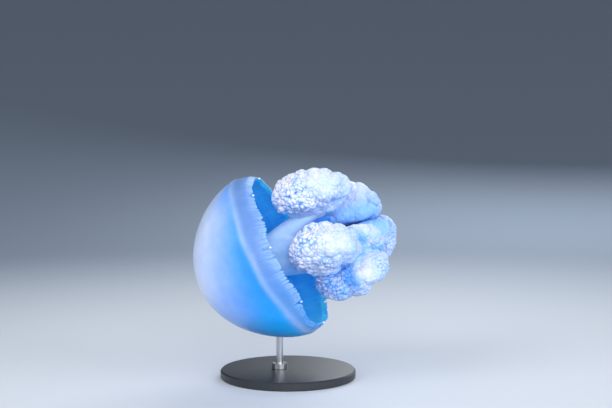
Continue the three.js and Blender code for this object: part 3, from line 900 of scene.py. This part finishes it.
def frill_rings(arm, number):
    """The club's grid after three rounds of bulbs, with the weights that its colours need. The bulbs
    are high at the end near the bell and on the outer side, and shallow on the smooth inner side."""
    points, share, turn, turned = club_grid(arm, number)
    along, around = share[:, None] + 0 * turn, turn + 0 * share[:, None]
    outer_side = smooth_step(-0.95, -0.25, np.cos(around))
    patches = smooth_step(-0.5, 0.5, soft_noise(points, PATCH_SIZE, 31 + number))
    near_end = smooth_step(0.62, 0.16, along) * (0.6 + 0.4 * patches)
    rough = outer_side * np.clip(near_end + 0.3 * patches - 0.05, 0, 1)
    bulb_height = 0.3 + 0.25 * outer_side + 3.2 * rough
    points = push_lobules(points, BULB_SIZES["lobule"], 3.0 + 4.5 * outer_side, 41 + number)
    points, bulbs = push_bulbs(points, BULB_SIZES["bulb"], bulb_height, 0.45, 61 + number)
    points, granules = push_bulbs(points, BULB_SIZES["granule"], 0.55 + 0.5 * rough, 0.2, 81 + number)
    deep_furrow = smooth_step(0.2, 0.85, np.cos(turned)) * (number == DEEPEST)
    _, from_axis, _ = bell_frame(points)
    return points, {
        "bulbs": bulbs,
        "granules": granules,
        "rough": rough,
        # creases, hollow and between say where painted shade goes, and lit how a surface faces the painted
        # light.
        "creases": rough**0.7 * smooth_step(-0.7, 0.0, soft_noise(points, CREASE_SIZE, 51 + number)),
        "hollow": deep_furrow * smooth_step(0.68, 0.46, along),
        "lit": grid_normals(points) @ FRILL_LIT_SIDE,
        "far_end": smooth_step(0.6, 0.95, along),
        "keel": smooth_step(-0.6, -0.95, np.cos(around)),
        "between": np.maximum(smooth_step(36, 18, from_axis), touching(points, number)),
        "cloud": soft_noise(points, TINT_CLOUD_SIZE, 71 + number),
    }


# %% [markdown]
# The frills' tops are nearly white and their crevices blue: partly the clear jelly below showing there,
# partly painted shade in the crevices, the furrow and between clubs. Sides turned to the light are
# painted whiter, and sides turned away are painted in shade.

# %% Frill material
# FRILL_SHADE and the deep azure after it are painted shade: sides turned from the light and the furrow.
FRILL_WHITE, FRILL_PALE, FRILL_SHADE, FURROW_SHADE = "e9e6f4", "b0c9f2", "70a8ee", "047fd6"
SPECKLE_SIZE, SPECKLE_SHARE = 1.1, 0.15

frill_settings = {"Roughness": 0.5, "IOR": WATER_IOR, "Subsurface Weight": 0.5}
frill_settings |= {"Subsurface Radius": (0.6, 0.8, 1.0), "Subsurface Scale": 1.5 * MM}
frill_flesh, tree, shader = new_material("frilled_mouth_flesh", frill_settings)
painted = add_node(tree, "ShaderNodeAttribute", {"attribute_name": "tint"}).outputs["Color"]
spot = add_node(tree, "ShaderNodeTexCoord").outputs["Object"]
size = {"Vector": spot, "Scale": 1 / (SPECKLE_SIZE * MM), "Detail": 2.0, "Roughness": 0.6}
speckle = add_node(tree, "ShaderNodeTexNoise", inputs=size).outputs["Fac"]
steps = {"Value": speckle, "From Min": 0.35, "From Max": 0.65, "To Min": 0.0, "To Max": SPECKLE_SHARE}
flecked = add_node(tree, "ShaderNodeMapRange", inputs=steps).outputs["Result"]
tones = {0: flecked, 6: painted, 7: opaque(FRILL_PALE)}
speckled = add_node(tree, "ShaderNodeMix", {"data_type": "RGBA"}, tones).outputs[2]
tree.links.new(speckled, shader.inputs["Base Color"])
relief = {"Height": speckle, "Strength": 0.35, "Distance": 0.3 * MM}
bumpy = add_node(tree, "ShaderNodeBump", inputs=relief).outputs["Normal"]
tree.links.new(bumpy, shader.inputs["Normal"])
print(f"{frill_flesh.name}: {len(tree.nodes)} nodes")

# %% Make the eight clubs


def frill_colours(weights):
    """White on the bulbs' tops, pale blue on their sides, and painted whiter where the surface faces the
    light. Painted shade: bluer where the surface faces away from the light, blue between the bulbs on the
    rough part, azure between clubs, in the furrow and in the patchy creases. Bluer at the far end, pale on
    the keel."""
    rough, lit = weights["rough"], weights["lit"]
    tops = smooth_step(0.2, 0.65, weights["bulbs"])
    grains = smooth_step(0.15, 0.7, weights["granules"])
    grained_tops = tops * (0.6 + 0.4 * grains)
    # Bulbs' tops whiter than the hollows between them, with painted shade in the hollows.
    white = 0.35 + 0.3 * weights["cloud"] + 0.2 * grains + 0.55 * rough * (grained_tops - 0.4)
    # Painted light: whiter where the surface faces the painted light's direction.
    white = np.clip(white + 0.25 * smooth_step(0.2, 0.9, lit), 0, 1)
    colours = mixed(FRILL_PALE, FRILL_WHITE, white)
    for tone, share in [
        # painted shade where the surface faces away from the light
        (FRILL_SHADE, 0.6 * smooth_step(0.3, -0.9, lit)),
        (FRILL_SHADE, 0.35 * weights["far_end"]),
        (MOUTH_PALE, weights["keel"]),
        # painted shade between the bulbs on the rough part
        (FRILL_SHADE, 0.6 * rough * (1 - tops)),
        # painted shade between clubs and near the bell's axis
        (CREVICE_SHADE, 0.55 * weights["between"]),
        # painted shade in the deepest club's furrow
        (FURROW_SHADE, weights["hollow"] * (1 - 0.62 * grained_tops * rough)),
        # painted shade in the patchy creases between the bulbs
        (CREVICE_SHADE, (1 - tops) * np.clip(0.08 + 1.1 * weights["creases"], 0, 1)),
    ]:
        colours = mixed(colours, tone, share)
    return colours


def add_frill(number, arm):
    """One club: its grid closed by a pole at each end, a UV map from its rings, its tints, its piece."""
    grid, weights = frill_rings(arm, number)
    ends = [grid[0].mean(0, keepdims=True), grid[-1].mean(0, keepdims=True)]
    points = np.concatenate([ends[0], grid.reshape(-1, 3), ends[1]])
    corners, sizes, shares, rings = stack_faces([1, *[FRILL_COLUMNS] * FRILL_ROWS, 1])
    mesh, order = new_mesh(f"frill_{number + 1}", points, corners, sizes)
    if order is not None:
        shares, rings = shares[order], rings[order]
    layer = mesh.uv_layers.new(name="OFBake")
    uv = np.stack([shares, rings / (FRILL_ROWS + 1)], -1)
    layer.data.foreach_set("uv", uv.astype(np.float32).ravel())
    flat = {key: np.concatenate([[w[0].mean()], w.ravel(), [w[-1].mean()]]) for key, w in weights.items()}
    paint(mesh, frill_colours(flat))
    add_piece(mesh, frill_flesh, "frill_flesh", f"arm_{number + 1}_frill")


for number, arm in enumerate(ARMS):
    add_frill(number, arm)

# %% [markdown]
# ## The sense organs
#
# A tiny bead hangs in each of the eight notches of the margin. It holds grains that tell the animal
# which way is up, and it catches the light.

# %% Sense organs
BEAD_WHITE, BEAD_BLUE = "ffffff", "dbe9ff"
BEAD_RADIUS, BEAD_LENGTH, BEAD_DEPTH, BEAD_CLOUD_SIZE = 1.1, 1.4, 0.6, 0.8

bead_settings = {"Roughness": 0.3, "IOR": WATER_IOR}
bead_settings |= {"Subsurface Weight": 0.3, "Subsurface Scale": 1 * MM}
bead, tree, shader = new_material("sense_organ_bead", bead_settings)
spot = add_node(tree, "ShaderNodeTexCoord").outputs["Object"]
size = {"Vector": spot, "Scale": 1 / (BEAD_CLOUD_SIZE * MM)}
cloud = add_node(tree, "ShaderNodeTexNoise", inputs=size).outputs["Fac"]
tones = {0: cloud, 6: opaque(BEAD_WHITE), 7: opaque(BEAD_BLUE)}
clouded = add_node(tree, "ShaderNodeMix", {"data_type": "RGBA"}, tones).outputs[2]
tree.links.new(clouded, shader.inputs["Base Color"])


def bead_rings(centre, along, radius, length):
    """A small egg: rings of radius * sin a round centre + along * length * cos a."""
    angle = np.linspace(0, np.pi, 14)[1:-1]
    turn = np.arange(16) / 16 * TURN
    first = unit(np.cross(along, to_crown + 0.3 * sight))
    second = np.cross(along, first)
    circle = np.cos(turn)[:, None] * first + np.sin(turn)[:, None] * second
    forward, out = (length * np.cos(angle))[:, None, None], (radius * np.sin(angle))[:, None, None]
    rings = centre + along * forward + circle * out
    return [(centre + along * length)[None], *rings, (centre - along * length)[None]]


def sense_organs():
    """Eight beads in the notches, as one mesh's points, corners and sizes."""
    parts = []
    edge = (OUTSIDE["margin"] + HOLLOW["margin"]) / 2
    for number in range(OCTANTS):
        azimuth = OCTANT_START + number * TURN / OCTANTS
        height = margin_wave(azimuth) + BEAD_DEPTH - MARGIN_SLANT * edge * np.cos(azimuth)
        rings = bead_rings(place(height, edge, azimuth), -to_crown, BEAD_RADIUS, BEAD_LENGTH)
        corners, sizes, _, _ = stack_faces([len(ring) for ring in rings])
        parts.append((np.concatenate(rings), corners, sizes))
    return joined(parts)


bead_mesh, _ = new_mesh("sense_organs", *sense_organs())
add_piece(bead_mesh, bead, "sense_organ", *name_all("sense_organ_"))

# %% [markdown]
# ## The stand
#
# The base is a steel plate with a satin dark powder coat, and the rod and its collar are brushed
# stainless steel. Their CAD solids are right as they are, so only their materials change. Powder coat
# has a fine orange peel, drawn here at 1.5 mm. Brushing leaves streaks along the rod.

# %% Stand materials
POWDER_TONES, STEEL_TONES = ("1d2025", "2b2f35"), ("a9acb0", "d3d5d8")
PEEL_SIZE, STREAK_SIZE, STREAK_STRETCH = 1.5, 0.5, (1.0, 1.0, 0.03)


def metal_finish(name, settings, tones, pattern, relief, stretch=None):
    """A finish whose base colour goes from one tone to the other, and whose bump follows the same
    noise. The noise lies in Object coordinates, which may first be scaled by stretch."""
    material, tree, shader = new_material(name, settings)
    spot = add_node(tree, "ShaderNodeTexCoord").outputs["Object"]
    if stretch:
        sizes = {"Vector": spot, "Scale": stretch}
        spot = add_node(tree, "ShaderNodeMapping", inputs=sizes).outputs["Vector"]
    grain = add_node(tree, "ShaderNodeTexNoise", inputs={"Vector": spot, **pattern}).outputs["Fac"]
    ends = {0: grain, 6: opaque(tones[0]), 7: opaque(tones[1])}
    toned = add_node(tree, "ShaderNodeMix", {"data_type": "RGBA"}, ends).outputs[2]
    tree.links.new(toned, shader.inputs["Base Color"])
    bumpy = add_node(tree, "ShaderNodeBump", inputs={"Height": grain, **relief}).outputs["Normal"]
    tree.links.new(bumpy, shader.inputs["Normal"])
    print(f"{name}: {len(tree.nodes)} nodes")
    return material


peel = {"Scale": 1 / (PEEL_SIZE * MM), "Detail": 2.0}
relief = {"Strength": 0.25, "Distance": 0.15 * MM}
powder = metal_finish("satin_powder_coat", {"Roughness": 0.42}, POWDER_TONES, peel, relief)

brushed = {"Metallic": 1.0, "Roughness": 0.3}
streaks = {"Scale": 1 / (STREAK_SIZE * MM), "Detail": 3.0}
relief = {"Strength": 0.2, "Distance": 0.05 * MM}
steel = metal_finish("brushed_stainless_steel", brushed, STEEL_TONES, streaks, relief, STREAK_STRETCH)

for name, material in {"stand_base": powder, "stand_rod": steel, "stand_collar": steel}.items():
    nodes[name].data.materials.clear()
    nodes[name].data.materials.append(material)

# %% [markdown]
# ## The studio
#
# A bowl stands in for a studio's seamless paper: a floor that curves up into walls all round, so every
# view has the same plain backdrop. It is pale round the stand and fades to slate grey with distance, as
# graduated paper does, so that the white frills stand out from it.

# %% Studio
FLOOR_RADIUS, SWEEP_RADIUS, WALL_HEIGHT = 1500, 4500, 6500
PAPER_PALE, PAPER_FAR, FADE_FROM, FADE_TO = "ccd1d8", "7e8997", 250, 1500


def studio_rings():
    """Rings from the floor's centre out, then a quarter turn up, then straight up."""
    turn = np.arange(96) / 96 * TURN
    circle = np.stack([np.cos(turn), np.sin(turn), 0 * turn], -1)
    level = np.linspace(50, FLOOR_RADIUS, 30)[:-1]
    bend = np.linspace(0, np.pi / 2, 32)
    swept = FLOOR_RADIUS + SWEEP_RADIUS * np.sin(bend)
    radii = np.concatenate([level, swept, [FLOOR_RADIUS + SWEEP_RADIUS]])
    levels = np.concatenate([0 * level, SWEEP_RADIUS * (1 - np.cos(bend)), [WALL_HEIGHT]])
    return [np.zeros((1, 3)), *(circle * r + (0, 0, z) for r, z in zip(radii, levels))]


paper, tree, shader = new_material("studio_paper", {"Roughness": 0.9})
painted = add_node(tree, "ShaderNodeAttribute", {"attribute_name": "tint"}).outputs["Color"]
tree.links.new(painted, shader.inputs["Base Color"])
bowl = studio_rings()
bowl_corners, bowl_sizes, _, _ = stack_faces([len(ring) for ring in bowl])
bowl_mesh, _ = new_mesh("studio_bowl", np.concatenate(bowl), bowl_corners, bowl_sizes)
bowl_mesh.materials.append(paper)
from_stand = np.linalg.norm(np.concatenate(bowl), axis=1)
paint(bowl_mesh, mixed(PAPER_PALE, PAPER_FAR, smooth_step(FADE_FROM, FADE_TO, from_stand)))
studio = add_object("studio_bowl", bowl_mesh)
studio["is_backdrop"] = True
print(f"studio bowl: {len(bowl)} rings")

# %% [markdown]
# Four large soft lamps stand round the model, above its height, and all aim at its middle. Their places
# and sizes are in metres and their powers in watts.

# %% Lamps
LAMPS = {
    "key": ((-1.6, -1.25, 1.2), 1.4, 28, (1.0, 0.98, 0.97)),
    "front fill": ((0.3, -2.2, 0.9), 1.6, 42, (0.94, 0.97, 1.0)),
    "side fill": ((1.9, -1.1, 0.8), 1.6, 30, (0.94, 0.97, 1.0)),
    "back": ((0.7, 1.9, 1.3), 1.4, 32, (0.92, 0.96, 1.0)),
}
AIR_COLOUR, AIR_STRENGTH = (0.8, 0.87, 1.0, 1), 0.5


def area_light(name, where, size, power, colour, aim):
    """A square lamp of size metres that faces its aim and isn't seen itself."""
    lamp = add_object(name, bpy.data.lights.new(name, "AREA"))
    lamp.data.size, lamp.data.energy, lamp.data.color = size, power, colour
    lamp.location = where
    lamp.visible_camera = False
    lamp.rotation_euler = (aim - lamp.location).to_track_quat("-Z", "Y").to_euler()


low_corner, high_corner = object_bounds()
for name, settings in LAMPS.items():
    area_light(name, *settings, aim=(low_corner + high_corner) / 2)
world = bpy.data.worlds.new("studio_air")
world.use_nodes = True
background = world.node_tree.nodes["Background"]
background.inputs["Color"].default_value = AIR_COLOUR
background.inputs["Strength"].default_value = AIR_STRENGTH
bpy.context.scene.world = world
bpy.context.scene.view_settings.view_transform = "Standard"
